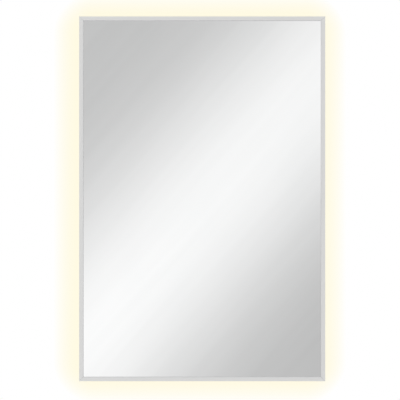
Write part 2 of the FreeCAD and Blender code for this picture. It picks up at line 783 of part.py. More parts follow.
def build_cover(sunk):
    """The flat sheet that closes the light box towards the wall."""
    x, z = "rail_width / 2 - cover_setback", "rail_height / 2 - cover_setback"
    sheet_metal = new_body([rectangle(f"-({x})", x, f"-({z})", z)], "0", "cover_thickness")
    spots = spots_round(COVER_SCREWS, "cover_screw_inward") + ear_spots()
    windows = []
    for sign in BOTH:
        middle = f"{sign}hang_spacing / 2"
        windows.append(rectangle(f"{middle} - window_width / 2", f"{middle} + window_width / 2",
                                 "window_bottom", "window_top"))
    vents = []
    for number in range(int(value("vent_count"))):
        across = f"driver_x + ({number} - (vent_count - 1) / 2) * vent_pitch"
        vents.append(slot(across, "vent_low", "vent_low + vent_length", "vent_radius"))
    for holes in ([circle(x, z, "screw_radius + screw_fit") for x, z in spots], windows, vents,
                  [circle("cable_x", "boxes_z", "grommet_radius + grommet_fit")]):
        pocket(sheet_metal, holes, "0", "cover_thickness")
    sinks = [taper("sunk_radius + screw_fit", "screw_radius + screw_fit", "sunk_height", x, "0", z, TO_FRONT)
             for x, z in spots]
    piece("back_cover", cut(sheet_metal, *sinks))
    piece("cover_screws", copies(sunk, [(x, "0", z, TO_FRONT) for x, z in spots]))


# Adjustable hangers


def build_hangers(pan):
    """A housing, a keyhole hook that slides in it, and the screw that lifts or lowers the hook."""
    half = "hanger_width / 2"
    for side, sign in (("left", "-"), ("right", "")):
        x = f"({sign}hang_spacing / 2)"
        outline = rectangle(f"{x} - {half}", f"{x} + {half}", "housing_bottom - hanger_wall", "inside_z")
        shell = new_body([outline], "housing_back", "flange_back")
        room = f"{half} - hanger_wall"
        pocket(shell, [rectangle(f"{x} - ({room})", f"{x} + ({room})", "housing_bottom", "housing_top")],
               "housing_back", "housing_floor")
        holes = [circle(f"{x} {way} hanger_screw_side", "hanger_screw_z", "screw_radius + screw_fit")
                 for way in ("-", "+")]
        pocket(shell, holes, "housing_floor", "flange_back")
        guide = rod("level_radius + running_fit", "hanger_wall + 2 * overshoot", x, "level_depth",
                    "housing_bottom - hanger_wall - overshoot")
        key_way = rod("key_hole_radius", "hanger_wall + 2 * overshoot", x, "level_depth",
                      "housing_top - overshoot")
        piece(f"hanger_housing_{side}", cut(shell, guide, key_way))
        hook = new_body([rectangle(f"{x} - hook_half", f"{x} + hook_half", "hook_bottom", "hook_top")],
                        "hook_back", "hook_front")
        pad(hook, [rectangle(f"{x} - nut_width / 2", f"{x} + nut_width / 2", "nut_bottom", "hook_top")],
            "hook_front", "nut_front")
        pocket(hook, [circle(x, "keyhole_z", "keyhole_radius")], "hook_back", "hook_front")
        pocket(hook, [slot(x, "keyhole_z", "slot_top", "keyhole_slot")], "hook_back", "hook_front")
        thread = rod("level_radius + running_fit", "nut_height + 2 * overshoot", x, "level_depth",
                     "nut_bottom - overshoot")
        piece(f"hanger_hook_{side}", cut(hook, thread))
        low = "housing_bottom - hanger_wall - level_end"
        shank = rod("level_radius", f"level_neck - ({low})", x, "level_depth", low)
        head = rod("level_head_radius", "level_head_height", x, "level_depth", "level_neck")
        socket = hexagon("hex_radius", "hex_depth", x, "level_depth", "level_top - hex_depth")
        piece(f"levelling_screw_{side}", cut(fuse(shank, head), socket))
    spots = [(x, "housing_floor - pan_height", z, TO_FRONT) for x, z in hanger_screw_spots()]
    piece("hanger_screws", copies(pan, spots))


# Rocker switch, let into the underside of the frame


def build_switch():
    low, high = "key_floor + key_clearance", "key_roof - key_clearance"
    seat = "frame_wall - half_height"
    outline = rectangle("switch_x - switch_end", "switch_x + switch_end", seat, "switch_inner - half_height")
    box = new_body([outline], low, high)
    pocket(box, [rectangle("switch_x - opening_x", "switch_x + opening_x", seat,
                           "switch_inner - switch_floor - half_height")],
           "switch_depth - opening_half", "switch_depth + opening_half")
    pocket(box, [circle("switch_x", "pivot_z", "pin_radius + screw_fit")], low, high)
    piece("switch_body", box)
    piece("switch_pin", rod("pin_radius", f"{high} - ({low})", "switch_x", low, "pivot_z", TO_FRONT))
    tip = "rocker_length / 2"
    rise = f"{tip} * tan(rocker_angle) - ridge_drop"
    outline = [("0", "-ridge_drop"), (tip, rise), (tip, f"{rise} + rocker_skin"),
               ("shoulder_half", "shoulder_rise"), ("-shoulder_half", "shoulder_rise"),
               (f"-{tip}", f"{rise} + rocker_skin"), (f"-{tip}", rise)]
    rocker = new_body([outline], "switch_depth - rocker_width / 2", "switch_depth + rocker_width / 2")
    pocket(rocker, [circle("0", "0", "pin_radius + running_fit")],
           "switch_depth - rocker_width / 2", "switch_depth + rocker_width / 2")
    tilt = FreeCAD.Rotation(FreeCAD.Vector(0, 1, 0), value("rocker_angle"))
    piece("switch_rocker", place(rocker, "switch_x", 0, "pivot_z", tilt))
    blades = []
    depths = ("switch_depth - terminal_thickness / 2", "switch_depth + terminal_thickness / 2")
    heights = ("switch_inner - half_height", "switch_inner + terminal_length - half_height")
    for sign in BOTH:
        middle = f"switch_x + ({sign}terminal_spread / 2)"
        blades.append(block((f"{middle} - terminal_width / 2", f"{middle} + terminal_width / 2"),
                            depths, heights))
    piece("switch_terminals", group(blades))


# Electrics on the back cover


def electric_box(left, right, height):
    """A shell open towards the room, with an ear at each end for a screw from behind."""
    low, high = f"boxes_z - {height} / 2", f"boxes_z + {height} / 2"
    shell = new_body([rectangle(left, right, low, high)], "cover_thickness", "lid_back")
    ear = ("boxes_z - ear_height / 2", "boxes_z + ear_height / 2")
    pad(shell, [rectangle(f"{left} - ear_length", left, *ear), rectangle(right, f"{right} + ear_length", *ear)],
        "cover_thickness", "cover_thickness + ear_thickness")
    pocket(shell, [rectangle(f"{left} + case_wall", f"{right} - case_wall", f"{low} + case_wall",
                             f"{high} - case_wall")], "cover_thickness + case_wall", "lid_back")
    pocket(shell, [circle(f"{left} - ear_length / 2", "boxes_z", "screw_radius + screw_fit"),
                   circle(f"{right} + ear_length / 2", "boxes_z", "screw_radius + screw_fit")],
           "cover_thickness", "cover_thickness + ear_thickness")
    return shell


def lid(name, left, right, height):
    outline = rectangle(left, right, f"boxes_z - {height} / 2", f"boxes_z + {height} / 2")
    piece(name, new_body([outline], "lid_back", "lid_back + lid_thickness"))


def build_driver():
    left, right = "(-driver_left)", "driver_right"
    case = electric_box(left, right, "driver_height")
    post_z = "(driver_height / 2 - post_inset)"
    corners = [(x, f"boxes_z {way} {post_z}") for x in (f"{left} + post_inset", f"{right} - post_inset")
               for way in ("-", "+")]
    pad(case, [circle(x, z, "post_radius") for x, z in corners], "cover_thickness + case_wall", "post_front")
    through = "case_wall + 2 * overshoot"
    mains = rod("mains_radius + lead_play", through, f"{right} - case_wall - overshoot", "lead_depth",
                "boxes_z", TO_RIGHT)
    low_voltage = rod("led_lead_radius + lead_play", through, "led_lead_x", "lead_depth",
                      "boxes_z - driver_height / 2 - overshoot")
    piece("driver_case", cut(case, mains, low_voltage))
    lid("driver_lid", left, right, "driver_height")
    inset = "case_wall + circuit_gap"
    circuit = rectangle(f"{left} + {inset}", f"{right} - ({inset})", f"boxes_z - driver_height / 2 + {inset}",
                        f"boxes_z + driver_height / 2 - ({inset})")
    piece("driver_board", new_body([circuit], "post_front", "circuit_front"))
    core = block(("driver_x - core_length / 2", "driver_x + core_length / 2"),
                 ("circuit_front", "circuit_front + core_depth"),
                 ("boxes_z - core_height / 2", "boxes_z + core_height / 2"))
    coil = block(("driver_x - coil_length / 2", "driver_x + coil_length / 2"),
                 ("circuit_front", "circuit_front + core_depth + coil_swell / 2"),
                 ("boxes_z - core_height / 2 - coil_swell", "boxes_z + core_height / 2 + coil_swell"))
    piece("driver_transformer", fuse(core, coil))
    gap = "core_length / 2 + 2 * capacitor_radius"
    spots = [(f"driver_x - ({gap})", "boxes_z"), (f"driver_x + {gap}", "boxes_z + 1.5 * capacitor_radius"),
             (f"driver_x + {gap}", "boxes_z - 1.5 * capacitor_radius")]
    cans = [rod("capacitor_radius", "capacitor_height", x, "circuit_front", z, TO_FRONT) for x, z in spots]
    piece("driver_capacitors", group(cans))


def build_terminal_box():
    case = electric_box("box_left", "box_right", "box_height")
    pocket(case, [circle("cable_x", "boxes_z", "grommet_radius + grommet_fit")], "cover_thickness",
           "block_back")
    through = "case_wall + 2 * overshoot"
    mains = rod("mains_radius + lead_play", through, "box_left - overshoot", "lead_depth", "boxes_z", TO_RIGHT)
    to_switch = rod("switch_lead_radius + lead_play", through, "box_right - case_wall - overshoot",
                    "lead_depth", "boxes_z", TO_RIGHT)
    piece("terminal_box", cut(case, mains, to_switch))
    lid("terminal_lid", "box_left", "box_right", "box_height")
    grommet = new_body([circle("cable_x", "boxes_z", "grommet_radius")], "0", "block_back")
    pad(grommet, [circle("cable_x", "boxes_z", "grommet_flange")], "block_back", "block_back + grommet_lip")
    pocket(grommet, [circle("cable_x", "boxes_z", "cable_radius")], "0", "block_back + grommet_lip")
    piece("cable_grommet", grommet)
    rows = ("boxes_z - block_height / 4", "boxes_z + block_height / 4")
    ways = [f"block_x + ({number}) * block_pitch" for number in (-1, 0, 1)]
    body = new_body([rectangle("block_x - block_length / 2", "block_x + block_length / 2",
                               "boxes_z - block_height / 2", "boxes_z + block_height / 2")],
                    "block_back", "block_front")
    pocket(body, [circle(x, z, "clamp_radius + screw_fit") for x in ways for z in rows],
           "block_front - clamp_height", "block_front")
    bores = [rod("block_bore", "block_height + 2 * overshoot", x, "block_back + block_depth / 2",
                 "boxes_z - block_height / 2 - overshoot") for x in ways]
    piece("terminal_block", cut(body, *bores))
    clamps = [rod("clamp_radius", "clamp_height", x, "block_front - clamp_height", z, TO_FRONT)
              for x in ways for z in rows]
    piece("clamp_screws", group(clamps))


# Leads inside the mirror


def lead(points, radius):
    """A round lead of straight runs joined by tangent arcs, each as large as its two runs allow."""
    way = [FreeCAD.Vector(value(x), -value(depth), value(z)) for x, depth, z in points]
    edges, start, tightest = [], way[0], math.inf
    for before, corner, after in zip(way, way[1:], way[2:]):
        arriving, leaving = (corner - before).normalize(), (after - corner).normalize()
        half_turn = arriving.getAngle(leaving) / 2
        reach = ARC_SHARE * min((corner - before).Length, (after - corner).Length)
        bend = reach / math.tan(half_turn)
        inside = (leaving - arriving).normalize()
        middle = corner + inside * (bend / math.cos(half_turn) - bend)
        edges.append(Part.LineSegment(start, corner - arriving * reach).toShape())
        edges.append(Part.Arc(corner - arriving * reach, middle, corner + leaving * reach).toShape())
        start = corner + leaving * reach
        tightest = min(tightest, bend)
    edges.append(Part.LineSegment(start, way[-1]).toShape())
    spine = Part.Wire(edges)
    thick = value(radius)
    ring = Part.Wire([Part.Circle(way[0], way[1] - way[0], thick).toShape()])
    shape = spine.makePipeShell([ring], True, False)
    if abs(shape.Volume / (math.pi * thick**2 * spine.Length) - 1) > 0.01:
        raise RuntimeError("a lead's tube doesn't follow its route")
    print(f"lead of radius {thick} mm, {spine.Length:.1f} mm long, tightest bend {tightest:.1f} mm")
    tube = doc.addObject("Part::Feature", "lead")
    tube.Shape = shape
    return tube


def build_leads():
    inside, case_floor = "(case_wall + lead_end)", "boxes_z - driver_height / 2"
    piece("mains_lead", lead([(f"box_left + {inside}", "lead_depth", "boxes_z"),
                              ("box_left - box_gap * 0.2", "lead_depth", "boxes_z + lead_sag"),
                              ("driver_right + box_gap * 0.2", "lead_depth", "boxes_z - lead_sag"),
                              (f"driver_right - {inside}", "lead_depth", "boxes_z")], "mains_radius"))
    piece("led_lead", lead([("led_lead_x", "lead_depth", f"{case_floor} + lead_end"),
                            ("led_lead_x", "lead_depth - lead_sag * 0.6", f"{case_floor} - led_lead_run"),
                            ("led_lead_x", "groove_middle", "-inside_z + led_lead_dive"),
                            ("led_lead_x", "groove_middle", "-inside_z - rail_wall")], "led_lead_radius"))
    first = ("switch_x - switch_lead_short", "lead_depth + 3 * lead_sag", "boxes_z - switch_lead_drop")
    piece("switch_lead", lead([(f"box_right - {inside}", "lead_depth", "boxes_z"),
                               ("box_right + switch_lead_run", "lead_depth + lead_sag", "boxes_z"), first,
                               ("switch_x + lead_sag", "switch_depth - lead_sag", "boxes_z - switch_lead_low"),
                               ("switch_x + lead_sag * 0.3", "switch_depth", "-inside_z - switch_lead_in"),
                               ("switch_x", "switch_depth", "-inside_z - switch_lead_out"),
                               ("switch_x", "switch_depth", "switch_inner + terminal_length - half_height")],
                              "switch_lead_radius"))
    end, level = "groove_depth + strip_end_gap - jumper_gap", "groove_depth - jumper_radius - jumper_gap"
    past, short = "groove_depth + jumper_past", "groove_depth - jumper_short"
    jumper = lead([(end, "groove_middle", level), (past, "groove_middle", short),
                   (short, "groove_middle", past), (level, "groove_middle", end)], "jumper_radius")
    piece("strip_jumpers", in_corners(jumper, ("bottom_left", "top_left", "top_right"), "light_inset"))


def export():
    doc.recompute()
    for thing in doc.Objects:
        if {"Invalid", "Error"} & set(thing.State):
            raise RuntimeError(f"{thing.Label} did not build: {thing.State}")
    for thing in pieces:
        if thing.Shape.isNull() or not thing.Shape.isValid() or not thing.Shape.Solids:
            raise RuntimeError(f"{thing.Label} has no valid shape")
    os.makedirs("parts", exist_ok=True)
    for thing in pieces:
        thing.Shape.exportStep(f"parts/{thing.Label}.step")
    print(f"{len(pieces)} pieces, {sum(len(thing.Shape.Solids) for thing in pieces)} solids")


sunk_screw, pan_screw, grub_screw = build_screws()
build_frame()
build_corner_keys(grub_screw)
build_panel()
build_rails()
build_lights()
build_rail_brackets(pan_screw)
build_cover(sunk_screw)
build_hangers(pan_screw)
build_switch()
build_driver()
build_terminal_box()
build_leads()
export()
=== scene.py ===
import bpy
import math
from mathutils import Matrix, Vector


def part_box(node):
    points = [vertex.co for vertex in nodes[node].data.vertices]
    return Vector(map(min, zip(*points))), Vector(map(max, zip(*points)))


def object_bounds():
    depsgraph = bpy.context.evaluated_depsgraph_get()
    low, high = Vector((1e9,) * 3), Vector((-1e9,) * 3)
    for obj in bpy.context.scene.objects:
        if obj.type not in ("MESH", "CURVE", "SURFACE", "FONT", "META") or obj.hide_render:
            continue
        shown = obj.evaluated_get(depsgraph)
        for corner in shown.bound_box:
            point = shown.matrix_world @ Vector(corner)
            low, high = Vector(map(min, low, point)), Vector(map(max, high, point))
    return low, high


# Lighted bathroom mirror, hung on a white wall: thin satin aluminium frame, warm light leaving behind it.
# Metres throughout, X to the right, Z up, the wall is the plane Y = 0 and the mirror looks towards -Y.

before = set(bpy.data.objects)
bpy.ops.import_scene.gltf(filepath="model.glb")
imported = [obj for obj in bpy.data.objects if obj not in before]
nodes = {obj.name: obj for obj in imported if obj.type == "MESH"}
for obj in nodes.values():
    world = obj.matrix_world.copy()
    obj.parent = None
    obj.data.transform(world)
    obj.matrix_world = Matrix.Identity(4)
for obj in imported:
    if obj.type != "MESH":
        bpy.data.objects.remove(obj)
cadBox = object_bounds()
bpy.ops.object.select_all(action="DESELECT")
across = ("bottom", "top")
upright = ("left", "right")
mm = 0.001


def linear(hexColour):
    channels = [int(hexColour[i:i + 2], 16) / 255 for i in (1, 3, 5)]
    return [c / 12.92 if c <= 0.04045 else ((c + 0.055) / 1.055) ** 2.4 for c in channels] + [1.0]


def addNode(tree, kind, inputs=None, **settings):
    # an input takes a number, a hex colour, a node or one of a node's outputs
    node = tree.nodes.new("ShaderNode" + kind)
    for name, setting in settings.items():
        setattr(node, name, setting)
    for key, source in (inputs or {}).items():
        socket = node.inputs[key] if isinstance(key, int) else next(
            s for s in node.inputs if s.enabled and s.name == key)
        if isinstance(source, bpy.types.Node):
            source = next(s for s in source.outputs if s.enabled)
        if isinstance(source, bpy.types.NodeSocket):
            tree.links.new(source, socket)
        else:
            socket.default_value = linear(source) if isinstance(source, str) else source
    return node


def startMaterial(name, scale=(1, 1, 1), middle=(0, 0, 0)):
    # gives the material, its tree, and object coordinates centred on a spot and then stretched
    material = bpy.data.materials.new(name)
    material.use_nodes = True
    tree = material.node_tree
    tree.nodes.clear()
    spot = addNode(tree, "TexCoord").outputs["Object"]
    centred = addNode(tree, "VectorMath", {0: spot, 1: middle}, operation="SUBTRACT")
    return material, tree, addNode(tree, "Mapping", {"Vector": centred, "Scale": scale})


def finishMaterial(tree, inputs):
    shader = addNode(tree, "BsdfPrincipled", inputs)
    addNode(tree, "OutputMaterial", {"Surface": shader})


def dress(material, *names):
    for name in names:
        for slot in nodes[name].material_slots:
            slot.material = material


# Camera: square on, and far enough back for the flat view of the photograph
view = {
    "distance": 4.0,  # to the front of the frame
    "seen": 1.011,  # metres of the mirror's plane that fill the picture
    "aside": -5.5 * mm,  # the photograph's middle isn't quite the mirror's
    "above": -3.0 * mm,
    "sensor": 36.0,
    "clipEnd": 50,
}


def setCamera():
    print("camera")
    place = (view["aside"], cadBox[0].y - view["distance"], view["above"])
    bpy.ops.object.camera_add(location=place, rotation=(math.pi / 2, 0, 0))
    camera = bpy.context.object
    camera.name = "camera"
    camera.data.sensor_width = view["sensor"]
    camera.data.lens = view["sensor"] * view["distance"] / view["seen"]
    camera.data.clip_end = view["clipEnd"]
    bpy.context.scene.camera = camera
    bpy.context.scene.view_settings.view_transform = "Standard"


# Studio: soft light from all round. What the mirror shows is a soft bright band that crosses it from the
# lower left to the upper right, as one long light behind the viewer gives.
studio = {
    "ambient": 0.80,
    "bandLow": 0.572,
    "bandHigh": 1.02,
    "bandAcross": (0.743, 0.0, -0.669),  # the direction that crosses the band
    "bandAlong": (0.669, 0.0, 0.743),
    "bandMiddle": 0.0070,
    "bandPitch": 0.28,  # one band to the next, as a share of the direction's unit
    "bandSharpness": 1.95,
    "fallToRight": -0.3,
    "fallWithin": 0.15,  # past this share of the direction's unit it falls no further
    "streaksAcross": 170.0,  # how fine they are across the band, and along it
    "streaksAlong": 6.0,
    "streaksStrength": 0.05,
    "keyPower": 34,
    "keySize": 2.2,
    "keyPlace": (-1.6, -2.6, 2.1),
    "glowPower": 0.20,
    "glowColour": "#FFE9C2",
    "glowBehind": 30 * mm,
}


def paintWorld():
    print("world")
    world = bpy.data.worlds.new("studio")
    bpy.context.scene.world = world
    world.use_nodes = True
    tree = world.node_tree
    tree.nodes.clear()
    direction = addNode(tree, "TexCoord").outputs["Generated"]
    crossing = addNode(tree, "VectorMath", {0: direction, 1: studio["bandAcross"]}, operation="DOT_PRODUCT")
    along = addNode(tree, "VectorMath", {0: direction, 1: studio["bandAlong"]}, operation="DOT_PRODUCT")
    rightward = addNode(tree, "SeparateXYZ", {0: direction}).outputs["X"]

    # the band, a raised cosine across its own direction
    offset = addNode(tree, "Math", {0: crossing, 1: studio["bandMiddle"]}, operation="SUBTRACT")
    turns = addNode(tree, "Math", {0: offset, 1: 2 * math.pi / studio["bandPitch"]}, operation="MULTIPLY")
    wave = addNode(tree, "Math", {0: turns}, operation="COSINE")
    lifted = addNode(tree, "Math", {0: wave, 1: 0.5, 2: 0.5}, operation="MULTIPLY_ADD")
    band = addNode(tree, "Math", {0: lifted, 1: studio["bandSharpness"]}, operation="POWER")
    tone = addNode(tree, "MapRange", {"Value": band, "To Min": studio["bandLow"],
                                      "To Max": studio["bandHigh"]})

    # a little darker to the right, and fine streaks that run with the band
    within = studio["fallWithin"]
    aside = addNode(tree, "Clamp", {"Value": rightward, "Min": -within, "Max": within})
    falling = addNode(tree, "Math", {0: aside, 1: studio["fallToRight"], 2: tone}, operation="MULTIPLY_ADD")
    flat = addNode(tree, "CombineXYZ", {0: crossing, 1: along})
    grid = addNode(tree, "VectorMath", {0: flat, 1: (studio["streaksAcross"], studio["streaksAlong"], 1)},
                   operation="MULTIPLY")
    streaks = addNode(tree, "TexNoise", {"Vector": grid, "Scale": 1, "Detail": 2})
    half = studio["streaksStrength"] / 2
    shown = addNode(tree, "MapRange", {"Value": streaks, "To Min": -half, "To Max": half})
    streaked = addNode(tree, "Math", {0: falling, 1: shown}, operation="ADD")

    # the camera sees plain white, gloss sees the band, everything else gets the ambient light
    rays = addNode(tree, "LightPath")
    seen = addNode(tree, "Math", {0: rays.outputs["Is Camera Ray"], 1: rays.outputs["Is Transmission Ray"]},
                   operation="MAXIMUM")
    light = addNode(tree, "Mix", {"Factor": rays.outputs["Is Glossy Ray"], "A": studio["ambient"],
                                  "B": streaked})
    strength = addNode(tree, "Mix", {"Factor": seen, "A": light, "B": 1.0})
    background = addNode(tree, "Background", {"Color": "#FFFFFF", "Strength": strength})
    addNode(tree, "OutputWorld", {"Surface": background})


def addLamp(name, spot, target, size, power, colour="#FFFFFF"):
    bpy.ops.object.light_add(type="AREA", location=spot)
    lamp = bpy.context.object
    lamp.name = name
    lamp.rotation_euler = (Vector(target) - Vector(spot)).to_track_quat("-Z", "Y").to_euler()
    lamp.data.shape = "RECTANGLE"
    lamp.data.size, lamp.data.size_y = size
    lamp.data.energy = power
    lamp.data.color = linear(colour)[:3]
    lamp.visible_camera = False
    lamp.visible_glossy = False


def addLamps():
    print("lamps")
    keySize = (studio["keySize"], studio["keySize"])
    addLamp("key_lamp", studio["keyPlace"], (0, 0, 0), keySize, studio["keyPower"])
    # what the strips throw on the back of the frame: a lamp behind each side of the gap round the light box
    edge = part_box("back_cover")[1]
    gap = cadBox[1] - edge
    for side in across + upright:
        axis = 2 if side in across else 0
        spot = Vector((0, studio["glowBehind"], 0))
        spot[axis] = edge[axis] + gap[axis] / 2
        if side in ("bottom", "left"):
            spot[axis] *= -1
        length = 2 * edge[2 - axis]
        size = (length, gap[axis]) if axis == 2 else (gap[axis], length)
        addLamp(f"glow_{side}", spot, (spot.x, 0, spot.z), size, studio["glowPower"], studio["glowColour"])


# Stage: a pale floor, and the piece of white wall with the strips' warm halo on it as painted light: the
# wall glows with the halo itself, no lamp throws it
wall = {
    "reach": 80 * mm,  # how far it goes past the frame
    # the colour of the painted halo of light
    "halo": "#FFFAE3",
    "haloReach": 62 * mm,  # where the last of it is gone
    "haloRound": 45 * mm,  # the strips stop short of the corners, so the halo rounds them
    "haloFall": 1.7,
    "haloMiddle": (-6.0 * mm, 0, 2.5 * mm),
}
floor = {
    "height": -1.5,
    "size": 8.0,
    "colour": "#F4F4F2",
    "shade": "#EAEAE7",
    "roughness": 0.6,
    "grain": 40 * mm,
    "near": 0.9,  # from here to the far distance it fades into the white all round
    "far": 3.2,
}


def hangWall():
    print("wall")
    low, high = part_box("back_cover")
    corner = cadBox[1]
    margin = corner.x - high.x + wall["reach"]
    bpy.ops.mesh.primitive_plane_add(size=1, rotation=(math.pi / 2, 0, 0))
    bpy.ops.transform.resize(value=(high.x - low.x + 2 * margin, 1, high.z - low.z + 2 * margin))
    bpy.ops.object.transform_apply(location=True, rotation=True, scale=True)
    bpy.ops.object.mode_set(mode="EDIT")
    # the light box hides this opening from the front, and through it the back sees the room
    bpy.ops.mesh.inset(thickness=margin)
    bpy.ops.mesh.delete(type="FACE")
    bpy.ops.object.mode_set(mode="OBJECT")
    piece = bpy.context.object
    piece.name = "wall_piece"

    # the painted halo of light is whole beside the frame and fades outwards, rounded at the corners
    material, tree, spot = startMaterial("plaster with a painted halo of light", middle=wall["haloMiddle"])
    away = addNode(tree, "VectorMath", {0: spot}, operation="ABSOLUTE")
    straight = (corner.x - wall["haloRound"], 0, corner.z - wall["haloRound"])
    past = addNode(tree, "VectorMath", {0: away, 1: straight}, operation="SUBTRACT")
    outside = addNode(tree, "VectorMath", {0: past, 1: (0, 0, 0)}, operation="MAXIMUM")
    distance = addNode(tree, "VectorMath", {0: outside}, operation="LENGTH")
    share = addNode(tree, "MapRange", {"Value": distance, "From Min": wall["haloRound"],
                                       "From Max": wall["haloRound"] + wall["haloReach"]})
    falling = addNode(tree, "Math", {0: share, 1: wall["haloFall"]}, operation="POWER")
    left = addNode(tree, "Math", {0: 1.0, 1: falling}, operation="SUBTRACT")
    # the halo's colour glows from the wall itself, as painted light
    lit = addNode(tree, "Emission", {"Color": wall["halo"]})

    # only the front of it shows, to the camera and in gloss, and it is clear where the halo is gone
    rays = addNode(tree, "LightPath")
    seen = addNode(tree, "Math", {0: rays.outputs["Is Camera Ray"], 1: rays.outputs["Is Glossy Ray"]},
                   operation="MAXIMUM")
    behind = addNode(tree, "NewGeometry").outputs["Backfacing"]
    front = addNode(tree, "Math", {0: seen, 1: behind}, operation="SUBTRACT", use_clamp=True)
    shown = addNode(tree, "Math", {0: front, 1: left}, operation="MULTIPLY")
    mixed = addNode(tree, "MixShader", {0: shown, 1: addNode(tree, "BsdfTransparent"), 2: lit})
    addNode(tree, "OutputMaterial", {"Surface": mixed})
    piece.data.materials.append(material)


def layFloor():
    print("floor")
    bpy.ops.mesh.primitive_plane_add(size=floor["size"], location=(0, 0, floor["height"]))
    bpy.ops.object.transform_apply(location=True, rotation=False, scale=False)
    piece = bpy.context.object
    piece.name = "floor"
    piece.visible_glossy = False
    material, tree, spot = startMaterial("screed, sealed")
    clouds = addNode(tree, "TexNoise", {"Vector": spot, "Scale": 1 / floor["grain"], "Detail": 3})
    colour = addNode(tree, "Mix", {"Factor": clouds, "A": floor["colour"], "B": floor["shade"]},
                     data_type="RGBA")
    shader = addNode(tree, "BsdfPrincipled", {"Base Color": colour, "Roughness": floor["roughness"]})
    flat = addNode(tree, "VectorMath", {0: spot, 1: (1, 1, 0)}, operation="MULTIPLY")
    radius = addNode(tree, "VectorMath", {0: flat}, operation="LENGTH")
    fade = addNode(tree, "MapRange", {"Value": radius, "From Min": floor["near"], "From Max": floor["far"]},
                   interpolation_type="SMOOTHSTEP")
    rays = addNode(tree, "LightPath").outputs["Is Camera Ray"]
    share = addNode(tree, "Math", {0: fade, 1: rays}, operation="MULTIPLY")
    white = addNode(tree, "Emission", {"Color": "#FFFFFF"})
    mixed = addNode(tree, "MixShader", {0: share, 1: shader, 2: white})
    below = addNode(tree, "NewGeometry").outputs["Backfacing"]  # a view from below looks through it
    seen = addNode(tree, "MixShader", {0: below, 1: mixed, 2: addNode(tree, "BsdfTransparent")})
    addNode(tree, "OutputMaterial", {"Surface": seen})
    piece.data.materials.append(material)


# Metal drawn, rolled or ground in one direction: fine lines that way, a little lighter and darker, and a
# gloss that they smear. The real lines are about 0.05 mm apart. These are coarser, or the render would
# lose them.
drawn = {
    "full": 0.5,  # lines times clouds hardly ever pass this
    "grit": 0.6,
    "smoother": 0.04,
    "rougher": 0.06,
    "bump": 0.6,
}


def linedMetal(name, part, along, draw=None):
    scale = [1 / part["linePitch"]] * 3
    scale["xyz".index(along)] = 1 / part["lineLength"]
    material, tree, spot = startMaterial(name, scale)
    lines = addNode(tree, "TexNoise", {"Vector": spot, "Scale": 1, "Detail": 4, "Roughness": drawn["grit"]})
    plain = addNode(tree, "TexCoord").outputs["Object"]
    clouds = addNode(tree, "TexNoise", {"Vector": plain, "Scale": 1 / part["cloud"], "Detail": 2})
    mixed = addNode(tree, "Math", {0: lines, 1: clouds}, operation="MULTIPLY")
    tone = addNode(tree, "MapRange", {"Value": mixed, "From Max": drawn["full"],
                                      "To Max": part["contrast"]})
    colour = addNode(tree, "Mix", {"Factor": tone, "A": part["colour"], "B": part["shade"]},
                     data_type="RGBA")
    if draw:
        colour = draw(tree, plain, colour)
    rough = addNode(tree, "MapRange", {"Value": mixed, "From Max": drawn["full"],
                                       "To Min": part["roughness"] - drawn["smoother"],
                                       "To Max": part["roughness"] + drawn["rougher"]})
    normal = addNode(tree, "Bump", {"Strength": drawn["bump"], "Distance": part["lineDepth"],
                                    "Height": lines})
    finishMaterial(tree, {"Base Color": colour, "Metallic": 1.0, "Roughness": rough, "Normal": normal})
    return material


# Plastic or rubber from a mould or a die: one colour that is hardly uneven, and a fine even grain. The real
# grain is under 0.2 mm, too fine for the render, so here it is 0.4 mm or coarser.
moulded ={"spread": 0.08, "bump": 0.5}


def mouldedPlastic(name, part, draw=None):
    material, tree, spot = startMaterial(name)
    clouds = addNode(tree, "TexNoise", {"Vector": spot, "Scale": 1 / part["cloud"], "Detail": 2})
    colour = addNode(tree, "Mix", {"Factor": clouds, "A": part["colour"], "B": part["shade"]},
                     data_type="RGBA")
    if draw:
        colour = draw(tree, spot, colour)
    grain = addNode(tree, "TexNoise", {"Vector": spot, "Scale": 1 / part["grain"], "Detail": 3})
    rough = addNode(tree, "MapRange", {"Value": grain, "To Min": part["roughness"] - moulded["spread"],
                                       "To Max": part["roughness"] + moulded["spread"]})
    normal = addNode(tree, "Bump", {"Strength": moulded["bump"], "Distance": part["grainDepth"],
                                    "Height": grain})
    finishMaterial(tree, {"Base Color": colour, "Roughness": rough, "Normal": normal})
    return material


# Metal with no lines, as plating, casting or stamping leaves it: its tint changes in patches, and small
# dull spots and handling marks break its gloss
patchy = {
    "swirl": 0.6,
    "grit": 0.7,
    "markLow": 0.3,  # the noise keeps between these
    "markHigh": 0.7,
    "smoother": 0.08,
    "rougher": 0.12,
    "bump": 0.4,
}


def patchyMetal(name, part):
    material, tree, spot = startMaterial(name)
    clouds = addNode(tree, "TexNoise", {"Vector": spot, "Scale": 1 / part["cloud"], "Detail": 3,
                                        "Distortion": patchy["swirl"]})
    colour = addNode(tree, "Mix", {"Factor": clouds, "A": part["colour"], "B": part["shade"]},
                     data_type="RGBA")
    marks = addNode(tree, "TexNoise", {"Vector": spot, "Scale": 1 / part["grain"], "Detail": 5,
                                       "Roughness": patchy["grit"]})
    rough = addNode(tree, "MapRange", {"Value": marks, "From Min": patchy["markLow"],
                                       "From Max": patchy["markHigh"],
                                       "To Min": part["roughness"] - patchy["smoother"],
                                       "To Max": part["roughness"] + patchy["rougher"]})
    normal = addNode(tree, "Bump", {"Strength": patchy["bump"], "Distance": part["grainDepth"],
                                    "Height": marks})
    finishMaterial(tree, {"Base Color": colour, "Metallic": 1.0, "Roughness": rough, "Normal": normal})
    return material


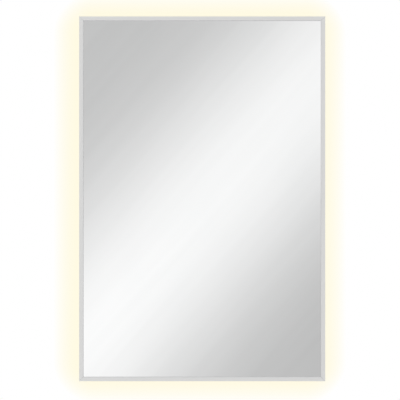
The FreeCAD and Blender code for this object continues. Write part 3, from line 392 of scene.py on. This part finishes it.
# Frame: four extruded aluminium bars, linished along their length and satin anodised, so they look even
# and softly grey from the front, with the lines only in a close view
bars = {
    "colour": "#F8F8F7",
    "shade": "#C6C7C9",
    "contrast": 0.08,
    "roughness": 0.36,
    "linePitch": 0.5 * mm,
    "lineLength": 60 * mm,
    "lineDepth": 0.004 * mm,
    "cloud": 110 * mm,
    "mitre": 0.2 * mm,  # the hairline where two bars meet
    "mitreColour": "#77787A",
}


def drawMitres(tree, spot, colour):
    # the bars meet where the distances to the side and to the top or bottom are the same
    away = addNode(tree, "VectorMath", {0: spot}, operation="ABSOLUTE")
    inward = addNode(tree, "VectorMath", {0: away, 1: cadBox[1]}, operation="SUBTRACT")
    parts = addNode(tree, "SeparateXYZ", {0: inward})
    apart = addNode(tree, "Math", {0: parts.outputs["X"], 1: parts.outputs["Z"]}, operation="SUBTRACT")
    distance = addNode(tree, "Math", {0: apart}, operation="ABSOLUTE")
    isMitre = addNode(tree, "Math", {0: distance, 1: bars["mitre"] / math.sqrt(2)}, operation="LESS_THAN")
    return addNode(tree, "Mix", {"Factor": isMitre, "A": colour, "B": bars["mitreColour"]},
                   data_type="RGBA")


def dressFrame():
    print("frame")
    dress(linedMetal("aluminium bar, anodised, across", bars, "x", drawMitres),
          *(f"frame_{side}" for side in across))
    dress(linedMetal("aluminium bar, anodised, upright", bars, "z", drawMitres),
          *(f"frame_{side}" for side in upright))


# Gasket: extruded rubber, a thin dull line between the frame and the glass
gasket = {
    "colour": "#D6D6D7",
    "shade": "#CCCCCE",
    "roughness": 0.6,
    "cloud": 30 * mm,
    "grain": 0.4 * mm,
    "grainDepth": 0.01 * mm,
}


def dressGasket():
    print("gasket")
    dress(mouldedPlastic("rubber, extruded, grey", gasket),
          *(f"gasket_{side}" for side in across + upright))


# Corner keys: die cast, with a dull and slightly pitted skin
cornerKey = {
    "colour": "#C9CBCE",
    "shade": "#A2A5A9",
    "roughness": 0.5,
    "cloud": 6 * mm,
    "grain": 0.6 * mm,
    "grainDepth": 0.03 * mm,
}


def dressCornerKeys():
    print("corner keys")
    dress(patchyMetal("aluminium, die cast", cornerKey), "corner_keys")


# Pane: float glass with silver on its back. The coat is the glass, the metal under it is the silver, so
# what it shows is sharp, and bends very slightly from place to place.
pane = {
    "silver": "#F8F8F8",
    "silverShade": "#F3F4F4",
    "haze": 0.012,
    "wave": 160 * mm,  # the faint draw of float glass
    "waveStretch": (1, 1, 0.4),  # which is longer upwards
    "waveDepth": 0.0006 * mm,
}


def dressPane():
    print("pane")
    material, tree, spot = startMaterial("float glass, silvered", pane["waveStretch"])
    waves = addNode(tree, "TexNoise", {"Vector": spot, "Scale": 1 / pane["wave"], "Detail": 1})
    colour = addNode(tree, "Mix", {"Factor": waves, "A": pane["silver"], "B": pane["silverShade"]},
                     data_type="RGBA")
    rough = addNode(tree, "MapRange", {"Value": waves, "To Max": pane["haze"]})
    normal = addNode(tree, "Bump", {"Distance": pane["waveDepth"], "Height": waves})
    finishMaterial(tree, {"Base Color": colour, "Metallic": 1.0, "Roughness": rough, "Normal": normal,
                          "Coat Weight": 1.0})
    dress(material, "mirror_pane")


# Safety film: polyethylene stuck to the back of the glass, with small wrinkles and trapped air
film = {
    "colour": "#CFD3D6",
    "shade": "#B9BEC2",
    "roughness": 0.35,
    "cloud": 45 * mm,
    "grain": 12 * mm,
    "grainDepth": 0.05 * mm,
}
# Backing board: lacquered grey skins with a faint orange peel, on a dull dark core that shows at its edges
# and in its holes
board = {
    "colour": "#C2C4C6",
    "shade": "#B4B6B9",
    "core": "#3C3D3F",
    "skin": 0.3 * mm,
    "roughness": 0.42,
    "coreRoughness": 0.75,
    "orangePeel": 2.5 * mm,
    "peelDepth": 0.003 * mm,
    "peelBump": 0.4,
    "cloud": 90 * mm,
}


def dressBoard():
    print("film and board")
    dress(mouldedPlastic("polyethylene film, stuck on", film), "safety_film")
    low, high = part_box("backing_board")
    material, tree, spot = startMaterial("composite board, lacquered", middle=(low + high) / 2)
    clouds = addNode(tree, "TexNoise", {"Vector": spot, "Scale": 1 / board["cloud"], "Detail": 3})
    lacquer = addNode(tree, "Mix", {"Factor": clouds, "A": board["colour"], "B": board["shade"]},
                      data_type="RGBA")
    through = addNode(tree, "SeparateXYZ", {0: spot}).outputs["Y"]
    depth = addNode(tree, "Math", {0: through}, operation="ABSOLUTE")
    inside = addNode(tree, "Math", {0: depth, 1: (high.y - low.y) / 2 - board["skin"]},
                     operation="LESS_THAN")
    colour = addNode(tree, "Mix", {"Factor": inside, "A": lacquer, "B": board["core"]}, data_type="RGBA")
    peel = addNode(tree, "TexNoise", {"Vector": spot, "Scale": 1 / board["orangePeel"], "Detail": 1})
    normal = addNode(tree, "Bump", {"Strength": board["peelBump"], "Distance": board["peelDepth"],
                                    "Height": peel})
    rough = addNode(tree, "MapRange", {"Value": inside, "To Min": board["roughness"],
                                       "To Max": board["coreRoughness"]})
    finishMaterial(tree, {"Base Color": colour, "Roughness": rough, "Normal": normal})
    dress(material, "backing_board")


# Light rails: extruded and anodised like the frame, but as they left the die, with longer, bolder lines
rail = {
    "colour": "#E9E9E9",
    "shade": "#BFC0C2",
    "contrast": 0.3,
    "roughness": 0.4,
    "linePitch": 1.2 * mm,
    "lineLength": 150 * mm,
    "lineDepth": 0.01 * mm,
    "cloud": 130 * mm,
}
# Brackets: bent steel, zinc plated, with patches of faint straw
bracket = {
    "colour": "#DADCE0",
    "shade": "#C9C4B8",
    "roughness": 0.32,
    "cloud": 9 * mm,
    "grain": 1.5 * mm,
    "grainDepth": 0.01 * mm,
}


def dressRails():
    print("light rails")
    dress(linedMetal("aluminium rail, extruded, across", rail, "x"),
          *(f"light_rail_{side}" for side in across))
    dress(linedMetal("aluminium rail, extruded, upright", rail, "z"),
          *(f"light_rail_{side}" for side in upright))
    dress(patchyMetal("steel angle, zinc plated", bracket), "rail_brackets")


# Light: chips every 16.5 mm on a white strip, behind an opal cover that still shows them as a faint wave
light = {
    "pitch": 16.5 * mm,
    "opal": "#F6F1E4",
    "opalShade": "#EFE8D6",
    "opalRoughness": 0.45,
    "opalGrain": 2.5 * mm,
    "opalGrainDepth": 0.02 * mm,
    "opalBump": 0.2,
    "glow": "#FFEFC9",
    "glowStrength": 1.0,
    "waveShare": 0.10,
    "mask": "#F3F3EF",
    "maskShade": "#E2E2DC",
    "traces": 3.846 * mm,  # the copper lines that press through the mask
    "pads": "#C79A5B",
    "padLength": 3.2 * mm,
    "cutEvery": 3,  # chips from one cut line to the next
    "stripRoughness": 0.4,
    "phosphor": "#F3D169",
    "phosphorRim": "#F7EED2",
    "phosphorGrain": mm / 3,  # the real grains are too fine for the render
    "rimAt": 2.6 * mm,  # from a chip's middle
    "chipGlow": "#FFEBC4",
    "chipStrength": 2.0,
    "chipRoughness": 0.35,
}


def dressLights():
    print("lights")
    for direction, names in (("X", across), ("Z", upright)):
        # opal acrylic, extruded: milky, lit from inside
        material, tree, spot = startMaterial(f"opal acrylic, extruded, {direction}")
        along = addNode(tree, "SeparateXYZ", {0: spot}).outputs[direction]
        turns = addNode(tree, "Math", {0: along, 1: 2 * math.pi / light["pitch"]}, operation="MULTIPLY")
        wave = addNode(tree, "Math", {0: turns}, operation="COSINE")
        lit = addNode(tree, "MapRange", {"Value": wave, "From Min": -1.0,
                                         "To Min": light["glowStrength"] * (1 - light["waveShare"]),
                                         "To Max": light["glowStrength"]})
        haze = addNode(tree, "TexNoise", {"Vector": spot, "Scale": 1 / light["opalGrain"], "Detail": 2})
        colour = addNode(tree, "Mix", {"Factor": haze, "A": light["opal"], "B": light["opalShade"]},
                         data_type="RGBA")
        normal = addNode(tree, "Bump", {"Strength": light["opalBump"], "Distance": light["opalGrainDepth"],
                                        "Height": haze})
        finishMaterial(tree, {"Base Color": colour, "Roughness": light["opalRoughness"], "Normal": normal,
                              "Emission Color": light["glow"], "Emission Strength": lit})
        dress(material, *(f"diffuser_{side}" for side in names))

        # white solder mask on a flexible strip, with copper at each cut line
        material, tree, spot = startMaterial(f"flexible strip, white solder mask, {direction}")
        along = addNode(tree, "SeparateXYZ", {0: spot}).outputs[direction]
        cut = light["pitch"] * light["cutEvery"]
        nearCut = addNode(tree, "Math", {0: along, 1: cut / 2}, operation="PINGPONG")
        isPad = addNode(tree, "Math", {0: nearCut, 1: cut / 2 - light["padLength"] / 2},
                        operation="GREATER_THAN")
        traces = addNode(tree, "TexNoise", {"Vector": spot, "Scale": 1 / light["traces"], "Detail": 1})
        mask = addNode(tree, "Mix", {"Factor": traces, "A": light["mask"], "B": light["maskShade"]},
                       data_type="RGBA")
        colour = addNode(tree, "Mix", {"Factor": isPad, "A": mask, "B": light["pads"]}, data_type="RGBA")
        finishMaterial(tree, {"Base Color": colour, "Metallic": isPad,
                              "Roughness": light["stripRoughness"]})
        dress(material, *(f"led_strip_{side}" for side in names))

        # chips: yellow phosphor that is paler where it is thin
        material, tree, spot = startMaterial(f"phosphor in silicone, cast, {direction}")
        along = addNode(tree, "SeparateXYZ", {0: spot}).outputs[direction]
        fromChip = addNode(tree, "Math", {0: along, 1: light["pitch"] / 2}, operation="PINGPONG")
        edge = addNode(tree, "MapRange", {"Value": fromChip, "From Max": light["rimAt"]})
        grain = addNode(tree, "TexNoise", {"Vector": spot, "Scale": 1 / light["phosphorGrain"],
                                           "Detail": 2})
        mixed = addNode(tree, "Math", {0: edge, 1: grain}, operation="MULTIPLY")
        colour = addNode(tree, "Mix", {"Factor": mixed, "A": light["phosphor"], "B": light["phosphorRim"]},
                         data_type="RGBA")
        finishMaterial(tree, {"Base Color": colour, "Roughness": light["chipRoughness"],
                              "Emission Color": light["chipGlow"],
                              "Emission Strength": light["chipStrength"]})
        dress(material, *(f"led_chips_{side}" for side in names))


# Back cover: rolled aluminium sheet, satin, with its lines upright
cover = {
    "colour": "#E4E5E6",
    "shade": "#BCBEC1",
    "contrast": 0.34,
    "roughness": 0.44,
    "linePitch": 1.4 * mm,
    "lineLength": 220 * mm,
    "lineDepth": 0.008 * mm,
    "cloud": 160 * mm,
}
# Grommet: black rubber, dull, from a slightly worn mould
grommet = {
    "colour": "#2A2A2C",
    "shade": "#343436",
    "roughness": 0.65,
    "cloud": 8 * mm,
    "grain": 0.5 * mm,
    "grainDepth": 0.02 * mm,
}
# Screws: turned steel, zinc plated, brighter than any sheet here
screw = {
    "colour": "#E6E8EC",
    "shade": "#B9BDC4",
    "roughness": 0.24,
    "cloud": 3 * mm,
    "grain": 0.5 * mm,
    "grainDepth": 0.01 * mm,
}


def dressBack():
    print("back cover")
    dress(linedMetal("aluminium sheet, rolled, satin", cover, "z"), "back_cover")
    dress(mouldedPlastic("rubber, moulded, black", grommet), "cable_grommet")
    dress(patchyMetal("steel screw, turned, zinc plated", screw), "cover_screws", "board_screws",
          "bracket_screws", "corner_screws", "hanger_screws", "levelling_screw_left",
          "levelling_screw_right")


# Hangers: stamped from hot-dip galvanised sheet, so that each crystal of zinc is its own grey
hanger = {
    "spangle": 5 * mm,
    "warp": 0.003,  # how far the crystals' edges leave straight lines
    "dark": "#AEB3B8",
    "pale": "#DDE1E4",
    "roughness": 0.38,
    "smoother": 0.06,
    "rougher": 0.10,
    "skinDepth": 0.01 * mm,
    "skinBump": 0.3,
}


def dressHangers():
    print("hangers")
    material, tree, spot = startMaterial("steel sheet, galvanised")
    bent = addNode(tree, "TexNoise", {"Vector": spot, "Scale": 1 / (2 * hanger["spangle"]), "Detail": 2})
    warped = addNode(tree, "Mix", {"Factor": hanger["warp"], "A": spot, "B": bent.outputs["Color"]},
                     data_type="VECTOR")
    crystals = addNode(tree, "TexVoronoi", {"Vector": warped, "Scale": 1 / hanger["spangle"]})
    grey = addNode(tree, "SeparateColor", {0: crystals.outputs["Color"]})
    colour = addNode(tree, "Mix", {"Factor": grey.outputs[0], "A": hanger["dark"], "B": hanger["pale"]},
                     data_type="RGBA")
    rough = addNode(tree, "MapRange", {"Value": grey.outputs[1],
                                       "To Min": hanger["roughness"] - hanger["smoother"],
                                       "To Max": hanger["roughness"] + hanger["rougher"]})
    normal = addNode(tree, "Bump", {"Strength": hanger["skinBump"], "Distance": hanger["skinDepth"],
                                    "Height": crystals.outputs["Distance"]})
    finishMaterial(tree, {"Base Color": colour, "Metallic": 1.0, "Roughness": rough, "Normal": normal})
    for side in upright:
        dress(material, f"hanger_housing_{side}", f"hanger_hook_{side}")


# Switch: white ABS, softly matt from a fine-grained mould
switch = {
    "colour": "#EDEDEA",
    "shade": "#E6E6E2",
    "roughness": 0.38,
    "cloud": 14 * mm,
    "grain": 0.5 * mm,
    "grainDepth": 0.012 * mm,
    "mark": "#6B6D70",  # the printed line and ring
    "markShift": 3.6 * mm,  # from the rocker's middle
    "markSize": 1.1 * mm,  # half the line, and the ring's radius
    "markWidth": 0.22 * mm,  # half the stroke
}
# Its pin: ground steel, bright, with short fine lines
pin = {
    "colour": "#E3E4E6",
    "shade": "#CFD1D4",
    "contrast": 0.5,
    "roughness": 0.22,
    "linePitch": 0.3 * mm,
    "lineLength": 2 * mm,
    "lineDepth": 0.004 * mm,
    "cloud": 4 * mm,
}
# Contacts and clamp screws: brass, yellow, and browner in patches
brass = {
    "colour": "#E8C67A",
    "shade": "#C79E52",
    "roughness": 0.3,
    "cloud": 2.5 * mm,
    "grain": 0.4 * mm,
    "grainDepth": 0.01 * mm,
}


def drawMarks(tree, spot, colour):
    # a line on the end that is in when the light is on, a ring on the other
    low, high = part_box("switch_rocker")
    middle = (low + high) / 2
    half = switch["markWidth"]
    marks = []
    for isLine, shift in ((True, -switch["markShift"]), (False, switch["markShift"])):
        centred = addNode(tree, "VectorMath", {0: spot, 1: (middle.x + shift, middle.y, 0)},
                          operation="SUBTRACT")
        flat = addNode(tree, "VectorMath", {0: centred, 1: (1, 1, 0)}, operation="MULTIPLY")
        if isLine:
            whole = addNode(tree, "VectorMath", {0: flat}, operation="ABSOLUTE")
            parts = addNode(tree, "SeparateXYZ", {0: whole})
            beyond = addNode(tree, "Math", {0: parts.outputs["X"], 1: switch["markSize"] - half},
                             operation="SUBTRACT")
            away = addNode(tree, "Math", {0: parts.outputs["Y"], 1: beyond}, operation="MAXIMUM")
        else:
            radius = addNode(tree, "VectorMath", {0: flat}, operation="LENGTH")
            beyond = addNode(tree, "Math", {0: radius, 1: switch["markSize"]}, operation="SUBTRACT")
            away = addNode(tree, "Math", {0: beyond}, operation="ABSOLUTE")
        marks.append(addNode(tree, "Math", {0: away, 1: half}, operation="LESS_THAN"))
    printed = addNode(tree, "Math", {0: marks[0], 1: marks[1]}, operation="MAXIMUM")
    return addNode(tree, "Mix", {"Factor": printed, "A": colour, "B": switch["mark"]}, data_type="RGBA")


def dressSwitch():
    print("switch")
    dress(mouldedPlastic("ABS, moulded, white", switch), "switch_body")
    dress(mouldedPlastic("ABS, moulded, white, printed", switch, drawMarks), "switch_rocker")
    dress(linedMetal("steel pin, ground", pin, "y"), "switch_pin")
    dress(patchyMetal("brass, stamped and turned", brass), "switch_terminals", "clamp_screws")


# Driver and terminal box: polycarbonate with a fine spark-eroded grain, and what is inside the driver
case = {
    "colour": "#E9E9E6",
    "shade": "#DEDEDA",
    "roughness": 0.48,
    "cloud": 40 * mm,
    "grain": 0.8 * mm,
    "grainDepth": 0.03 * mm,
}
# Terminal block: polyamide, ivory and smoother than the boxes
block = {
    "colour": "#E6E3D4",
    "shade": "#D9D5C3",
    "roughness": 0.4,
    "cloud": 12 * mm,
    "grain": 0.6 * mm,
    "grainDepth": 0.01 * mm,
}
circuit = {
    "mask": "#14532A",
    "maskOverCopper": "#2C7A43",
    "copperPitch": 2.6 * mm,
    "copperReach": 0.16,  # from the middle of a copper spot, as a share of the pitch
    "copperEdge": 0.05,
    "roughness": 0.3,
    "copperDepth": 0.035 * mm,
}
transformer = {
    "tape": "#E4BC2E",
    "tapeShade": "#CFA31F",
    "tapeRoughness": 0.35,
    "ferrite": "#3A3B3E",
    "ferriteRoughness": 0.7,
    "lap": 7.54 * mm,  # the width of the tape
    "lapDepth": 0.05 * mm,
    "lapBump": 0.5,
    "lapDrift": 0.6,
    "coreShare": 0.62,  # of the half length, past which the ferrite shows
}
waveRadians = 20  # a wave texture goes on by this for each unit
capacitor = {
    "sleeve": "#23262B",
    "sleeveShade": "#31353B",
    "shrink": 2 * mm,  # where the sleeve shrank a little unevenly
    "top": "#C9CCD0",
    "crown": 0.3 * mm,  # how much of the can's end is bare
    "roughness": 0.25,
}


def dressElectrics():
    print("driver and terminal box")
    dress(mouldedPlastic("polycarbonate, moulded, white", case), "driver_case", "driver_lid",
          "terminal_box", "terminal_lid")
    dress(mouldedPlastic("polyamide, moulded, ivory", block), "terminal_block")

    # glass-epoxy board: the copper left by etching shows as raised, paler spots under the green mask
    material, tree, spot = startMaterial("glass-epoxy board, etched, green mask")
    cells = addNode(tree, "TexVoronoi", {"Vector": spot, "Scale": 1 / circuit["copperPitch"]},
                    distance="MANHATTAN", feature="F1")
    isBare = addNode(tree, "MapRange", {"Value": cells, "From Min": circuit["copperReach"],
                                        "From Max": circuit["copperReach"] + circuit["copperEdge"]})
    colour = addNode(tree, "Mix", {"Factor": isBare, "A": circuit["maskOverCopper"], "B": circuit["mask"]},
                     data_type="RGBA")
    normal = addNode(tree, "Bump", {"Distance": circuit["copperDepth"], "Height": isBare}, invert=True)
    finishMaterial(tree, {"Base Color": colour, "Roughness": circuit["roughness"], "Normal": normal})
    dress(material, "driver_board")

    # ferrite at both ends, yellow polyester tape wound round the coil between them
    low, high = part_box("driver_transformer")
    material, tree, spot = startMaterial("ferrite and polyester tape, wound", middle=(low + high) / 2)
    parts = addNode(tree, "SeparateXYZ", {0: spot})
    along = addNode(tree, "Math", {0: parts.outputs["X"]}, operation="ABSOLUTE")
    isCore = addNode(tree, "Math", {0: along, 1: (high.x - low.x) / 2 * transformer["coreShare"]},
                     operation="GREATER_THAN")
    lapScale = 2 * math.pi / waveRadians / transformer["lap"]
    laps = addNode(tree, "TexWave", {"Vector": spot, "Scale": lapScale,
                                     "Distortion": transformer["lapDrift"]}, bands_direction="Y")
    tape = addNode(tree, "Mix", {"Factor": laps, "A": transformer["tape"], "B": transformer["tapeShade"]},
                   data_type="RGBA")
    colour = addNode(tree, "Mix", {"Factor": isCore, "A": tape, "B": transformer["ferrite"]},
                     data_type="RGBA")
    rough = addNode(tree, "MapRange", {"Value": isCore, "To Min": transformer["tapeRoughness"],
                                       "To Max": transformer["ferriteRoughness"]})
    normal = addNode(tree, "Bump", {"Strength": transformer["lapBump"],
                                    "Distance": transformer["lapDepth"], "Height": laps})
    finishMaterial(tree, {"Base Color": colour, "Roughness": rough, "Normal": normal})
    dress(material, "driver_transformer")

    # capacitors: a dark shrunk sleeve, with the bare can at the crown
    low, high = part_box("driver_capacitors")
    material, tree, spot = startMaterial("aluminium can, sleeved", middle=(low + high) / 2)
    depth = addNode(tree, "SeparateXYZ", {0: spot}).outputs["Y"]
    isCrown = addNode(tree, "Math", {0: depth, 1: (high.y - low.y) / 2 - capacitor["crown"]},
                      operation="GREATER_THAN")
    shrink = addNode(tree, "TexNoise", {"Vector": spot, "Scale": 1 / capacitor["shrink"], "Detail": 2})
    sleeve = addNode(tree, "Mix", {"Factor": shrink, "A": capacitor["sleeve"],
                                   "B": capacitor["sleeveShade"]}, data_type="RGBA")
    colour = addNode(tree, "Mix", {"Factor": isCrown, "A": sleeve, "B": capacitor["top"]},
                     data_type="RGBA")
    finishMaterial(tree, {"Base Color": colour, "Metallic": isCrown, "Roughness": capacitor["roughness"]})
    dress(material, "driver_capacitors")


# Leads: soft white PVC drawn over the wires, with a slight bloom
lead = {
    "colour": "#ECECE8",
    "shade": "#DFDFDA",
    "roughness": 0.42,
    "cloud": 18 * mm,
    "grain": 1.0 * mm,
    "grainDepth": 0.015 * mm,
}


def dressLeads():
    print("leads")
    dress(mouldedPlastic("PVC sheath, extruded, white", lead), "mains_lead", "led_lead", "switch_lead",
          "strip_jumpers")


setCamera()
paintWorld()
addLamps()
hangWall()
layFloor()
dressFrame()
dressGasket()
dressCornerKeys()
dressPane()
dressBoard()
dressRails()
dressLights()
dressBack()
dressHangers()
dressSwitch()
dressElectrics()
dressLeads()
